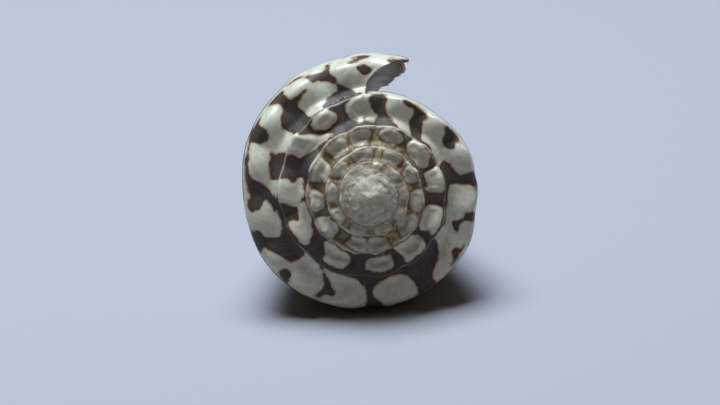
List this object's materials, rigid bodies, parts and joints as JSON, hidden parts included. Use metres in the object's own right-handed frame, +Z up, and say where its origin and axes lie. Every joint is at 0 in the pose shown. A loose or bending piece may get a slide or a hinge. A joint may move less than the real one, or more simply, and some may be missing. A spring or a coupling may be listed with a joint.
{
  "type": "marbled cone shell",
  "caption": "Cone-shaped sea snail shell with a low knobbed spire, a long slit mouth and white tent marks on a brown-black ground, lying on its side.",
  "frame": {"origin": "on the ground below the middle of the shell as it lies", "axes": "+Z up; +Y along the shell on the ground, from the spire to the front end; +X to the side on which the mouth opens"},
  "size_m": [0.043, 0.081, 0.0454],
  "materials": {
    "shell": "natural porcelain-like shell, smooth with fine growth lines; white tent-shaped marks on brown-black, golden brown gaps on the spire, white inside"
  },
  "bodies": {
    "root": {"shell": "shell"}
  },
  "joints": []
}
